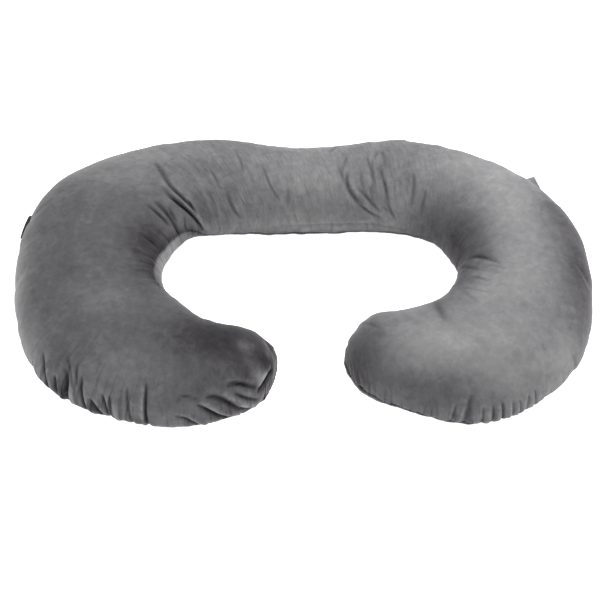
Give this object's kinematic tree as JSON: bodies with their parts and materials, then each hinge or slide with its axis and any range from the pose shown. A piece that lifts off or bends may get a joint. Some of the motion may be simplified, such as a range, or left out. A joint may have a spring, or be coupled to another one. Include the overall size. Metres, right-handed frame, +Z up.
{
  "type": "body pillow",
  "caption": "C-shaped body pillow of filled plush velour, lying flat, with curled-in ends, a seam round its edge and blank tabs in the seam.",
  "frame": {"origin": "on the surface that the pillow lies on, under the middle of its box", "axes": "+X along the long side of the C, +Y from the open side to the long back, +Z up"},
  "size_m": [1.3174, 0.7956, 0.1902],
  "materials": {
    "velour": "short-pile plush velour, soft sheen at grazing angles",
    "tape": "matt woven tape"
  },
  "bodies": {
    "root": {"pillow": "velour", "right_tab": "tape", "left_tab": "tape"}
  },
  "joints": []
}
